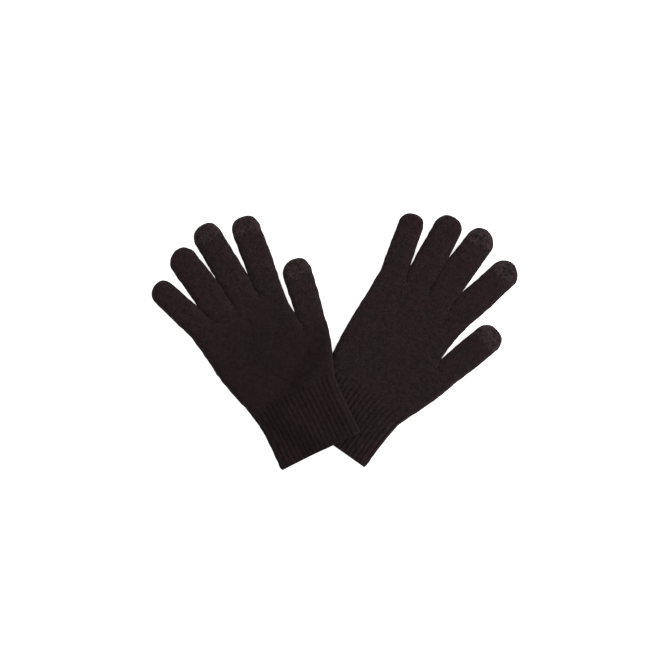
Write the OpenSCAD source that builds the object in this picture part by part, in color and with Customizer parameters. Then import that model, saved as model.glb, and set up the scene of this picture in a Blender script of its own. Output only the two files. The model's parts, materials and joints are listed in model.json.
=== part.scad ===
// A pair of knitted touchscreen gloves lying flat, the left glove's cuff over the right one's.
// +X runs to the right, +Y towards the fingertips and +Z up; the origin is at the middle of the
// pair's footprint, on the surface they lie on. Each glove's plan has its own origin at the middle
// of the hem, with x towards the thumb and y towards the fingertips. Sizes are in millimetres.

/* [Fabric] */
// Thickness of the plain knit of the hand and fingers
knit_wall = 1.2; // [1:0.1:1.3]
// Thickness of the ribbed knit of the cuff
rib_wall = 1.3; // [1.1:0.1:1.4]
// Height of the hand and fingers as they lie, hollow included
loft = 8; // [7.8:0.1:8.4]
// How far the folded edge of a tube is rounded, seen from above
edge_round = 5; // [4:0.5:6]

/* [Cuff] */
// Flat width of the cuff at the hem
cuff_width = 75; // [72:1:78]
// Length of the cuff, from the hem to the wrist
cuff_length = 57; // [52:1:60]
// Number of elastic threads laid round the cuff
elastic_count = 6; // [3:1:7]
// Diameter of an elastic thread
elastic_d = 0.7; // [0.5:0.1:0.9]
// Diameter of the overlock thread round the mouth
overlock_d = 1.2; // [1:0.1:1.4]

/* [Fingers] */
// Length of the little finger, from the crotch line to the tip
little_length = 57.5; // [54:0.5:60]
// Length of the ring finger
ring_length = 71.5; // [68:0.5:74]
// Length of the middle finger
middle_length = 78; // [74:0.5:80]
// Length of the index finger
index_length = 69.5; // [66:0.5:72]
// Length of the thumb
thumb_length = 61.5; // [58:0.5:64]
// Flat width of each finger at the crotch line
finger_width = 23.5; // [23:0.1:24]
// Flat width of the thumb where it leaves the hand
thumb_width = 22; // [21:0.5:23]
// Half the flat width of the little finger near its tip
little_tip_r = 11.2; // [10.5:0.1:11.5]
// Half the flat width of the other fingertips
tip_r = 12.4; // [12:0.1:12.6]
// Length of the conductive touch tips on the thumb, index and middle fingers
touch_length = 18; // [16:0.5:20]

/* [Lay of the pair] */
// How far each glove's axis leans to the left: left glove, right glove
tilt = [25.6, -34.5]; // [-36:0.1:28]
// How far the left glove spreads while it falls from the right cuff to the table
drape = 22; // [20:1:24]

/* [Hidden] */
FINGERS = ["little", "ring", "middle", "index"];
SIDES = ["left", "right"];
TOUCH = ["middle", "index", "thumb"];

// Where the middle of each glove's hem lies on the table.
hem_at = [[-13.17, -98.44], [-4.67, -91.64]];
// The crotch between the ring and middle fingers, and the crotch of the thumb, in each glove's plan.
mid_crotch = [[-14.3, 150], [-4, 160]];
thumb_crotch = [[33.2, 108], [40, 111]];
// How far the little, ring, middle and index fingers and the thumb lean towards the little finger.
lean = [[20.8, 11.1, 5.2, -5.1, -7.5], [14.9, 5.8, -0.9, -12.4, -15]];
// The outer edges at the wrist, and the little finger's edge level with the thumb crotch.
wrist_x = [[-42, 39], [-42, 42.5]];
side_at = [[-54.7, 104], [-48, 106]];
// How far the hand's edges bow outwards between those points, below and above the thumb crotch:
// on the little finger's side and on the thumb's side.
bow_below = [0.7, 1.3];
bow_above = [-0.5, -1.7];
// The crotch line turns by this share of each finger's lean, and at the thumb by a fixed angle.
base_turn = 0.6;
thumb_turn = -12;

lengths = [little_length, ring_length, middle_length, index_length, thumb_length];
tip_radii = [little_tip_r, tip_r, tip_r, tip_r, tip_r];
gap = 0.35;           // between pieces on different bodies
mid_swell = 1;        // how much wider a finger is half way along, on each side
arc_steps = 4;        // facets round a folded edge
tube_steps = 6;       // lengthwise steps of a finger
dome_steps = 5;       // steps of a fingertip's dome
thread_sides = 6;     // facets round a thread
cuff_steps = 8;       // lengthwise steps of the cuff
palm_steps = 5;       // lengthwise steps of each part of the hand
columns = 8;          // steps across the glove, two to a finger
thumb_step = 1.2;     // how far the hand stops short of the thumb's root
hole_margin = 0.8;    // how much narrower the thumb's hole is than the thumb, on each side
stitch_length = 3;    // a closing stitch, its distance below the crotch the same
stitch_pitch = 1.4;   // from one closing stitch to the next
stitch_d = 0.9;       // thickness of a closing stitch
under_cuff_r = 44;    // half the width of the right glove where the left one lies on it
lift_height = loft + 2 * gap;

knit_colour = [0.15, 0.12, 0.12];
touch_colour = [0.22, 0.19, 0.2];
thread_colour = [0.1, 0.08, 0.08];
elastic_colour = [0.3, 0.28, 0.27];

function mix(a, b, t) = a + (b - a) * t;
function unit(v) = v / norm(v);
function turned(v, angle) = [v.x * cos(angle) - v.y * sin(angle), v.x * sin(angle) + v.y * cos(angle)];
function smooth(t) = let (c = min(1, max(0, t))) c * c * (3 - 2 * c);

// ---- The lay: plan points to the table, and the left glove's rise over the right cuff ----

function on_table(g, p) = hem_at[g] + turned(p, tilt[g]);
// Distance of a point on the table from the part of the right glove that the left one crosses.
function off_right_glove(q) =
    let (p = turned(q - hem_at[1], -tilt[1]))
    norm([max(0, -under_cuff_r - p.x), max(0, -p.y)]);
function rise(g, q) = g == 0 ? lift_height * smooth(1 - off_right_glove(q) / drape) : 0;
function placed(g, p) = let (q = on_table(g, [p.x, p.y])) [q.x, q.y, p.z + rise(g, q)];
function placed_rings(g, rings) = [for (r = rings) [for (p = r) placed(g, p)]];

// ---- Plan: the crotch line, the finger roots and the rows across the hand ----

function across(g, i) = turned([1, 0], base_turn * lean[g][i]);
// The five points where the finger tubes start, from the little finger's edge to the index finger's.
function knuckles(g) =
    let (
        k2 = mid_crotch[g],
        k1 = k2 - finger_width * across(g, 1),
        k3 = k2 + finger_width * across(g, 2)
    )
    [k1 - finger_width * across(g, 0), k1, k2, k3, k3 + finger_width * across(g, 3)];
function thumb_edge(g) = thumb_crotch[g] + thumb_width * turned([1, 0], thumb_turn);
// The two ends of finger i's root; finger 4 is the thumb.
function root(g, i) = i < 4 ? [knuckles(g)[i], knuckles(g)[i + 1]] : [thumb_crotch[g], thumb_edge(g)];
// Rows of points across the glove: at height t of the cuff, at the wrist, under the thumb's root,
// from the little finger's side to the thumb crotch, and along the fingers' crotch line.
function straight_row(a, b, steps) = [for (k = [0:steps]) mix(a, b, k / steps)];
function cuff_row(g, t) =
    let (
        y = mix(overlock_d, cuff_length, t),
        left = mix(-cuff_width / 2, wrist_x[g][0], t * t),
        right = mix(cuff_width / 2, wrist_x[g][1], t * t)
    )
    straight_row([left, y], [right, y], columns);
function wrist_row(g) = cuff_row(g, 1);
function thumb_row(g) =
    let (
        hand = straight_row(side_at[g], thumb_crotch[g], columns - 2),
        thumb = straight_row(thumb_crotch[g], thumb_edge(g), 2)
    )
    moved(concat(hand, [thumb[1], thumb[2]]), [0, -thumb_step]);
function hand_row(g) = straight_row(side_at[g], thumb_crotch[g], columns);
function crotch_row(g) =
    let (k = knuckles(g))
    concat([k[0]], [for (i = [1:4]) each [mix(k[i - 1], k[i], 0.5), k[i]]]);
function moved(row, by) = [for (p = row) p + by];
function mix_row(a, b, t) = [for (k = [0:len(a) - 1]) mix(a[k], b[k], t)];
// A row with its two ends moved outwards.
function bowed(row, by) =
    let (m = len(row) - 1, along = unit(row[m] - row[0]))
    [for (k = [0:m]) row[k] + (k == 0 ? -by[0] : k == m ? by[1] : 0) * along];

// ---- Sections: a folded tube's ring above a row of plan points, shrunk inwards by inset ----

function section(row, height, inset, squeeze = 1) =
    let (
        m = len(row) - 1,
        left = unit(row[1] - row[0]),
        right = unit(row[m] - row[m - 1]),
        r = min(edge_round, norm(row[m] - row[0]) / 2.2),
        out = max(r - inset, r * 0.3),
        half = height / 2 * squeeze - inset,
        middle = height / 2
    )
    concat(
        [for (i = [0:arc_steps])
            let (b = -90 + 180 * i / arc_steps, p = row[0] + left * (r - out * cos(b)))
            [p.x, p.y, middle + half * sin(b)]],
        [for (k = [1:1:m - 1]) [row[k].x, row[k].y, middle + half]],
        [for (i = [0:arc_steps])
            let (b = 90 - 180 * i / arc_steps, p = row[m] - right * (r - out * cos(b)))
            [p.x, p.y, middle + half * sin(b)]],
        [for (k = [m - 1:-1:1]) [row[k].x, row[k].y, middle - half]]
    );

// ---- Solids from rings ----

function side_faces(first, rows, n, flip) = [
    for (i = [0:1:rows - 2], j = [0:n - 1])
        let (
            a = first + i * n + j,
            b = first + i * n + (j + 1) % n,
            c = b + n,
            d = a + n
        )
        each flip ? [[a, b, c], [a, c, d]] : [[a, c, b], [a, d, c]]
];
function rim_faces(a0, b0, n, flip) = [
    for (j = [0:n - 1])
        let (k = (j + 1) % n)
        each flip ? [[a0 + j, a0 + k, b0 + k], [a0 + j, b0 + k, b0 + j]]
                  : [[a0 + j, b0 + k, a0 + k], [a0 + j, b0 + j, b0 + k]]
];
function fan_faces(a0, pole, n, flip) = [
    for (j = [0:n - 1])
        let (k = (j + 1) % n)
        flip ? [a0 + j, a0 + k, pole] : [a0 + j, pole, a0 + k]
];

// A hollow tube between outer and inner rings, open at both ends.
module open_tube(outer, inner) {
    n = len(outer[0]);
    rows = len(outer);
    inner_at = rows * n;
    last = (rows - 1) * n;
    polyhedron(
        points = concat([for (r = outer) each r], [for (r = inner) each r]),
        faces = concat(
            side_faces(0, rows, n, false),
            side_faces(inner_at, rows, n, true),
            rim_faces(0, inner_at, n, true),
            rim_faces(last, inner_at + last, n, false)
        )
    );
}

// The same tube closed by a dome at its far end, with a pole point on each skin.
module closed_tube(outer, inner, outer_pole, inner_pole) {
    n = len(outer[0]);
    rows = len(outer);
    inner_at = rows * n;
    last = (rows - 1) * n;
    poles_at = 2 * rows * n;
    polyhedron(
        points = concat([for (r = outer) each r], [for (r = inner) each r], [outer_pole, inner_pole]),
        faces = concat(
            side_faces(0, rows, n, false),
            side_faces(inner_at, rows, n, true),
            rim_faces(0, inner_at, n, true),
            fan_faces(last, poles_at, n, false),
            fan_faces(inner_at + last, poles_at + 1, n, true)
        )
    );
}

// A solid with flat ends through the rings.
module capped_tube(rings) {
    n = len(rings[0]);
    rows = len(rings);
    polyhedron(
        points = [for (r = rings) each r],
        faces = concat(
            side_faces(0, rows, n, false),
            [[for (j = [0:n - 1]) j]],
            [[for (j = [n - 1:-1:0]) (rows - 1) * n + j]]
        )
    );
}

// A thread that follows a closed loop of points.
module thread_loop(path, d) {
    n = len(path);
    rings = [
        for (i = [0:n - 1])
            let (
                along = unit(path[(i + 1) % n] - path[(i + n - 1) % n]),
                side = unit(cross(along, [0.2, 1, 0.1])),
                up = cross(along, side)
            )
            [for (j = [0:thread_sides - 1])
                path[i] + d / 2 * (cos(360 * j / thread_sides) * side + sin(360 * j / thread_sides) * up)]
    ];
    polyhedron(
        points = [for (r = rings) each r],
        faces = [
            for (i = [0:n - 1], j = [0:thread_sides - 1])
                let (
                    a = i * thread_sides + j,
                    b = i * thread_sides + (j + 1) % thread_sides,
                    next = (i + 1) % n * thread_sides,
                    c = next + (j + 1) % thread_sides,
                    e = next + j
                )
                each [[a, b, c], [a, c, e]]
        ]
    );
}

// ---- Fingers ----

// The row across finger i, t of the way from its root to the centre of its tip.
function finger_axis(g, i) = turned([0, 1], lean[g][i]);
function tip_centre(g, i) =
    (root(g, i)[0] + root(g, i)[1]) / 2 + (lengths[i] - tip_radii[i]) * finger_axis(g, i);
function finger_row(g, i, t) =
    let (
        side = turned([1, 0], lean[g][i]),
        swell = mid_swell * sin(180 * t),
        a = mix(root(g, i)[0], tip_centre(g, i) - tip_radii[i] * side, t),
        b = mix(root(g, i)[1], tip_centre(g, i) + tip_radii[i] * side, t),
        inward = gap * (1 - t) - swell * t
    )
    [a + inward * side + gap * (1 - t) * finger_axis(g, i), b - inward * side + gap * (1 - t) * finger_axis(g, i)];
function with_middle(row) = [row[0], (row[0] + row[1]) / 2, row[1]];
// The part of a fingertip's dome at angle b past its centre.
function dome_row(g, i, b) =
    let (
        side = turned([1, 0], lean[g][i]),
        c = tip_centre(g, i) + tip_radii[i] * sin(b) * finger_axis(g, i),
        w = tip_radii[i] * cos(b)
    )
    [c - w * side, c + w * side];

function tube_rings(g, i, from, to, inset) = [
    for (k = [0:tube_steps])
        section(with_middle(finger_row(g, i, mix(from, to, k / tube_steps))), loft, inset)
];
function dome_rings(g, i, inset) = [
    for (k = [1:dome_steps])
        let (
            b = 78 * k / dome_steps,
            shrink = (tip_radii[i] - inset) / tip_radii[i],
            row = dome_row(g, i, b),
            c = tip_centre(g, i),
            small = [c + (row[0] - c) * shrink, c + (row[1] - c) * shrink]
        )
        section(with_middle(small), loft, inset * 0.9, pow(cos(b), 0.45))
];
function tip_pole(g, i, inset) =
    let (p = tip_centre(g, i) + (tip_radii[i] - inset) * finger_axis(g, i))
    [p.x, p.y, loft / 2];

// How far along, from root to tip centre, the touch tip starts.
function touch_start(i) = 1 - (touch_length - tip_radii[i]) / (lengths[i] - tip_radii[i]);

module finger_tube(g, i, to) {
    open_tube(
        placed_rings(g, tube_rings(g, i, 0, to, 0)),
        placed_rings(g, tube_rings(g, i, 0, to, knit_wall))
    );
}

module finger_end(g, i, from) {
    closed_tube(
        placed_rings(g, concat(tube_rings(g, i, from, 1, 0), dome_rings(g, i, 0))),
        placed_rings(g, concat(tube_rings(g, i, from, 1, knit_wall), dome_rings(g, i, knit_wall))),
        placed(g, tip_pole(g, i, 0)),
        placed(g, tip_pole(g, i, knit_wall))
    );
}

module plain_finger(g, i) {
    color(knit_colour) finger_end(g, i, 0);
}

module touch_finger(g, i) {
    color(knit_colour) finger_tube(g, i, touch_start(i));
}

module touch_tip(g, i) {
    color(touch_colour) finger_end(g, i, touch_start(i));
}

// ---- Hand and cuff ----

// Rings of the hand between two rows of points, its edges bowing outwards on the way. The ledge at
// the thumb crotch, at the ring numbered ledge, has the wall's thickness too.
function hand_rings(from, to, bow, inset, ledge) = [
    for (k = [0:palm_steps])
        let (
            t = k / palm_steps,
            row = bowed(mix_row(from, to, t), bow * sin(180 * t))
        )
        section(k == ledge ? moved(row, [0, -inset]) : row, loft, inset)
];
function whole_hand_rings(g, inset) = placed_rings(g, concat(
    hand_rings(wrist_row(g), thumb_row(g), bow_below, inset, palm_steps),
    hand_rings(hand_row(g), crotch_row(g), bow_above, inset, 0)
));

// The space that the thumb's hole takes out of the ledge.
module thumb_hole(g) {
    rings = [
        for (along = [-3.2, 3])
            let (
                row = moved(finger_row(g, 4, 0), along * finger_axis(g, 4)),
                narrow = bowed(row, [-hole_margin, -hole_margin])
            )
            section(with_middle(narrow), loft, knit_wall + 0.15)
    ];
    capped_tube(placed_rings(g, rings));
}

module hand(g) {
    color(knit_colour)
    difference() {
        open_tube(whole_hand_rings(g, 0), whole_hand_rings(g, knit_wall));
        thumb_hole(g);
    }
}

function cuff_rings(g, inset) = [
    for (k = [0:cuff_steps]) section(cuff_row(g, k / cuff_steps), loft, inset)
];

module cuff(g) {
    color(knit_colour)
    open_tube(placed_rings(g, cuff_rings(g, 0)), placed_rings(g, cuff_rings(g, rib_wall)));
}

module cuff_elastic(g) {
    color(elastic_colour)
    for (k = [1:elastic_count]) {
        ring = section(cuff_row(g, k / (elastic_count + 1)), loft, rib_wall / 2);
        thread_loop([for (p = ring) placed(g, p)], elastic_d);
    }
}

module cuff_overlock(g) {
    ring = section(cuff_row(g, 0), loft, rib_wall / 2);
    color(thread_colour)
    thread_loop([for (p = ring) placed(g, [p.x, p.y - overlock_d / 2, p.z])], overlock_d);
}

// Three turns of yarn draw the two faces together at each crotch.
module crotch_stitches(g) {
    at = concat([for (k = [1:3]) knuckles(g)[k]], [thumb_crotch[g]]);
    color(thread_colour)
    for (p = at, k = [-1:1])
        translate(placed(g, [p.x + k * stitch_pitch, p.y - stitch_length, loft]))
            rotate([90, 0, tilt[g]])
                cylinder(h = stitch_length, d = stitch_d, center = true, $fn = 24);
}

// ---- Nodes ----

for (g = [0, 1]) {
    s = SIDES[g];
    hand(g);
    cuff(g);
    cuff_elastic(g);
    cuff_overlock(g);
    crotch_stitches(g);
    for (i = [0, 1])
        plain_finger(g, i);
    for (i = [2, 3])
        touch_finger(g, i);
    touch_finger(g, 4);
    for (i = [2:4])
        touch_tip(g, i);
}
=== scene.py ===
"""The looks of a pair of knitted touchscreen gloves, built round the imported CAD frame.

Each glove is knitted in numpy as the real one is: rings of stitches from the cuff's mouth up to the
finger roots, then a tube for each finger. Lengths in this script are millimetres until a mesh is made.
"""

import json
from math import cos, exp, pi, radians, sin, sqrt, tan

import bpy
import numpy as np
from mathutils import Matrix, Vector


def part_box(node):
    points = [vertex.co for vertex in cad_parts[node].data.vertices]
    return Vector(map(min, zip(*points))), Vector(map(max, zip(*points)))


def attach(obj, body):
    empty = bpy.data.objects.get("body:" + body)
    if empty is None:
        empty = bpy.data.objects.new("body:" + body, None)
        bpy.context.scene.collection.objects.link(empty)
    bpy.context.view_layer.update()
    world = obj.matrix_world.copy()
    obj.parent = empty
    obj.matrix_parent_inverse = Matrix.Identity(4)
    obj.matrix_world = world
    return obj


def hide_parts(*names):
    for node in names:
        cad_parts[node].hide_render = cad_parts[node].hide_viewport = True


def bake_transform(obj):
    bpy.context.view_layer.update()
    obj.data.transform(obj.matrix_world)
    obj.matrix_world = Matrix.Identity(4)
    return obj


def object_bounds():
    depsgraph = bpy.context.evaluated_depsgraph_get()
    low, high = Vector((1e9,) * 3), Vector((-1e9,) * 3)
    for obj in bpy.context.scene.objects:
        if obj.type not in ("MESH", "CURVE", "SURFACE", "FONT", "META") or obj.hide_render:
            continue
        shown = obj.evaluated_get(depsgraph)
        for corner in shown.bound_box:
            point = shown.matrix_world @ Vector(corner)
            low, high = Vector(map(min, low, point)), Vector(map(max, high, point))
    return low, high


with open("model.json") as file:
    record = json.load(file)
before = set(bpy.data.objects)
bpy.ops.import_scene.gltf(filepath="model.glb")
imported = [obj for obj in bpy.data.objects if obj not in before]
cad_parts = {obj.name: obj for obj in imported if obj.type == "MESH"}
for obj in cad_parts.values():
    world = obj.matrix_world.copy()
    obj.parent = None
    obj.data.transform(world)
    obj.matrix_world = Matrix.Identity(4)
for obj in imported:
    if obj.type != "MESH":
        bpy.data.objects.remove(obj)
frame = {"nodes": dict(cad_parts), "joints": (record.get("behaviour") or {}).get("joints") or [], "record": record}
cad_low, cad_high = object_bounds()

MM = 0.001
FINGERS = ("little", "ring", "middle", "index")
TOUCH = ("middle", "index", "thumb")

# The knit. A wale is a column of stitches and a course is a row of them.
FINGER_WALES = 15
THUMB_WALES = 16
HAND_WALES = 4 * FINGER_WALES
ALL_WALES = HAND_WALES + THUMB_WALES
COURSE = 1.42  # height of a course
COLS = 3  # mesh columns to a wale
FINGER_COLS = FINGER_WALES * COLS
HAND_COLS = HAND_WALES * COLS
THUMB_COLS = THUMB_WALES * COLS
ALL_COLS = ALL_WALES * COLS
ROWS = 3  # mesh rows to a course
ROW = COURSE / ROWS
STITCH_DEPTH = 0.26
STITCH_LEVEL = 0.45  # share of a stitch's relief below the cloth's middle
LEG_SLANT = 0.45  # how far the legs of a stitch slant, in courses
CREASE_SHADE_FADE = 5.0  # the shade painted along the creases ends over this length
CALM_COLS = 4  # the stitches flatten over this many mesh columns beside a crotch
BEAD_ROWS = 4  # the stitches' beads die out over this many rows at a root
ROOT_ROWS = 8  # a finger is drawn together at its crotches over this many
PUFF = 0.22  # how far the loose yarn stands off the cloth
WOBBLE = 0.16  # unevenness of the cloth
WOBBLE_LENGTHS = (15.0, 11.0, 8.3)
WOBBLE_SEED = 5
SAG = 0.32  # broader unevenness of the upper face
SAG_LENGTHS = (62.0, 41.0, 27.0)
SAG_SEED = 7
SAG_HEIGHT = 4.0  # it is full at this height above the fold
NOISE_WAVES = 4  # waves for each length of the unevenness
WALL = 1.1  # thickness of the knit
LEAST_HOLLOW = 0.5  # share of the outside's height that the inside keeps
FLOOR_CLEAR = 0.03
INNER_EVERY = 12  # the inside has one mesh row for this many outside

# The ribs of the cuff: a ridge and the groove beside it, two wales each.
RIB_WALES = 4
RIB_DEPTH = {"left": 0.65, "right": 1.0}
RIB_FADE = 2.6  # half the length over which a groove dies out
RIB_STAGGER = 1.7  # how far a groove may start above or below the wrist
RIB_SEED = 11
RIB_ROUND = 0.7  # less than 1 makes the ridges broad and the grooves narrow
RIB_LEVEL = 0.55  # share of a rib's relief below the cloth's middle
RIB_INSIDE = 0.7  # share of it that shows on the inside
PIT_DEPTH = 0.4  # the dimple where a groove starts
PIT_LENGTH = 1.3

# Lengths along a glove, from the mouth of its cuff.
MOUNT_INSET = 1.2  # where the CAD marks the hand opening
CUFF_START = 0.35  # where the cuff's knit ends and the overlocking starts
MOUTH_CLEAR = 1.3  # the CAD's outline is read from here on
WRIST = 57.0
CORNER = 1.7  # rounding of the mouth's corners
HEM_BOW = 0.3  # how far the corners of the mouth hang below its middle
HEM_BOW_LENGTH = 14.0

# How far the outline is averaged at the wrist, at which shares of that, and where it ends.
WRIST_ROUND = 9.0
WRIST_ROUND_SHARES = (-1, -0.6, -0.2, 0.2, 0.6, 1)
WRIST_ROUND_SPAN = 26.0

# How far from the joints between CAD nodes its outline is read.
JOINT_CLEAR = 0.01
SIDE_CLEAR = 0.2
ROOT_CLEAR = 0.4
THUMB_CLEAR = 1.6
SIDE_DROP = 4.0  # how far the thumb's crotch is above the lower hand's other side
PALM_EDGE_POINTS = 24
THUMB_TURN = 0.1  # share of the lower hand where its edge turns to the thumb's root
EDGE_EASE = 0.06  # share of the upper hand where its edge eases to its ends

# Where an outline swells or draws in: its edge (-1 left, 1 right), height, half length and amount.
SWELLS = {
    "left": (
        (-1, 38.0, 15.0, -0.6), (-1, 4.0, 19.0, 1.2), (-1, 108.0, 9.0, -0.3),
        (1, -5.0, 42.0, 2.3), (1, 70.0, 38.0, 1.2),
    ),
    "right": ((1, 62.0, 13.0, 1.3), (1, 82.0, 20.0, 0.7), (1, 6.0, 24.0, 0.6)),
}
# How far the mouth's left and right corners are above its straight line.
HEM_TILT = {"left": (-0.6, 0.5), "right": (0.5, 0.0)}

# The fingers.
FINGER_WIDTH = 23.5
THUMB_WIDTH = 22.0
LITTLE_RADIUS = 11.2
TIP_RADIUS = 12.8
THUMB_RADIUS = 13.1
TOUCH_LENGTH = 18.0
TOUCH_FADE = 7.0  # the conductive yarn's grey comes in over this length
# How square each tip is, little finger first, on the little finger's side and on the thumb's: less
# than 1 is squarer.
SHOULDERS = {
    "left": ((1.15, 0.74), (1.4, 0.78), (1.0, 0.72), (0.8, 0.76), (1.2, 0.72)),
    "right": ((1.05, 0.74), (0.95, 0.85), (0.9, 1.4), (1.0, 1.3), (0.85, 0.72)),
}
# How much longer than the CAD's finger each one is, and how far its tip is to the thumb's side.
LONGER = {"left": (0.0, -0.5, 0.4, 0.0, -0.8), "right": (0.5, 0.0, -0.4, -0.5, 0.5)}
ASIDE = {"left": (-0.2, -0.2, 0.3, -0.3, 0.1), "right": (0.2, -0.3, -0.1, -0.3, -0.2)}
OUTER_SWELL = {"little": 0.1, "index": 0.7, "thumb": 0.5}
CLEAR = 0.015  # half the gap between two fingers that lie side by side
PRESS = 0.5  # how far they would overlap if they weren't pressed flat
PRESS_IN = 0.04  # shares of a finger's side over which that comes in and goes out
PRESS_OUT = 0.03
PRESS_BELOW = 0.5  # how far below the crotch the pressing begins
PRESS_END = 9.0  # and over which length past the contact it ends
CONTACT_BOW = 0.35  # how far the pressed faces bow, and at which height that is full
CONTACT_HALF = 1.8
# How far a finger's edge is turned to the straight way after a contact and at the tip.
LEAVE_TURN = 0.95
ARRIVE_TURN = 0.3
BEND = 13.0  # length along a finger from its root
PINCH_LENGTH = 7.0  # the faces draw together over this length below a crotch
ROOT_SHARE = 1 / 3  # share of a finger over which its root's section goes over into its own
DOME_LENGTH = 1.5  # length of cloth over a tip's dome, in radii
DOME_END = 87.0  # degrees up the dome to its last ring
DOME_CALM = 1.6  # how steeply the stitches flatten as the dome narrows

# Threads.
ELASTIC_COUNT = 6
ELASTIC_RADIUS = 0.22
ELASTIC_PLACE = 0.6  # its place in the wall, from outside to inside
OVERLOCK_CORE = 0.5
OVERLOCK_DROP = 0.1  # how far the core hangs below the cuff's last ring
OVERLOCK_THREAD = 0.2
OVERLOCK_LOOPS = 2 * ALL_WALES
OVERLOCK_LOOP_POINTS = 10
OVERLOCK_REACH = 0.62  # how far the loops go out from the core
OVERLOCK_PAST = 1.1 * OVERLOCK_REACH  # and how far up and down over the edge
BAR_TURNS = 5  # turns of yarn over a closing bar
BAR_POINTS = 9  # points to a turn
BAR_HALF = 0.75  # half the width of a closing bar
BAR_ABOVE = 2.9  # how far it starts above the crotch
BAR_BELOW = 1.5  # and how far it ends below
BAR_SINK = 0.62  # how deep the bar is drawn into the crease
BAR_THREAD = 0.34
BAR_LEVEL = 0.4  # height of the turns' middle, and how far they rise from it, in BAR_THREAD
BAR_RISE = 1.3
BAR_PLY = 0.14  # depth of the groove between the thread's two plies, and their twists
BAR_TWISTS = 9.0
BAR_CORE = 0.45

# How far up from the crotch neighbours touch, from the little finger to the thumb.
TOUCHING = {"left": (15.6, 29.4, 17.0, 11.7), "right": (12.1, 35.5, 17.0, 8.0)}
# Degrees by which each of the fingers' lines leans towards the thumb.
LEAN = {"left": (-3.0, 1.0, 1.5), "right": (-3.5, -1.0, -2.5)}
# How much the palm's edge swells where the thumb leaves it.
THUMB_GAP_SWELL = {"left": 0.8, "right": 0.0}
THUMB_GAP_LENGTH = 9.0

# Sections: how far in from a fold the surface is level, and its height above and below the fold.
FOLD_HEIGHT = 3.6
WIDEST_FOLD = 0.49  # as a share of a tube's width
PALM = {"top": (6.5, 4.0), "bottom": (5.0, 3.15)}
FINGER = {"top": (9.2, 4.1), "bottom": (5.5, 3.15)}
THUMB_ROOT = {"top": (7.5, 4.05), "bottom": (5.2, 3.15)}

# The left glove lies over the right one's cuff.
UNDER_HALF = 44.0  # half the width of what is under it
DRAPE = 22.0  # it comes down over this length beside that


# ---- Small helpers ----


def unit(v):
    return v / np.linalg.norm(v)


def units(rows):
    return rows / np.linalg.norm(rows, axis=1, keepdims=True)


def mix(a, b, t):
    return a + (b - a) * t


def smooth(t):
    t = np.clip(t, 0, 1)
    return t * t * (3 - 2 * t)


def to_right(way):
    """The plan direction to the right of another."""
    return np.array([way[1], -way[0]])


def cad_points(node):
    mesh = frame["nodes"][node].data
    co = np.empty(len(mesh.vertices) * 3)
    mesh.vertices.foreach_get("co", co)
    return co.reshape(-1, 3) / MM


def plan_noise(points, wavelengths, seed):
    """Smooth humps from about -1 to 1 over points in the plan, the same on every piece."""
    draw = np.random.default_rng(seed)
    total = np.zeros(points.shape[:-1])
    for wavelength in np.repeat(wavelengths, NOISE_WAVES):
        angle, phase = draw.uniform(0, 2 * pi, 2)
        stretch = draw.uniform(0.8, 1.25)
        along = points[..., 0] * cos(angle) + points[..., 1] * sin(angle)
        total += np.sin(2 * pi * along / (stretch * wavelength) + phase)
    return total / sqrt(NOISE_WAVES * len(wavelengths))


# ---- The plan of each glove, read from the frame ----


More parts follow.
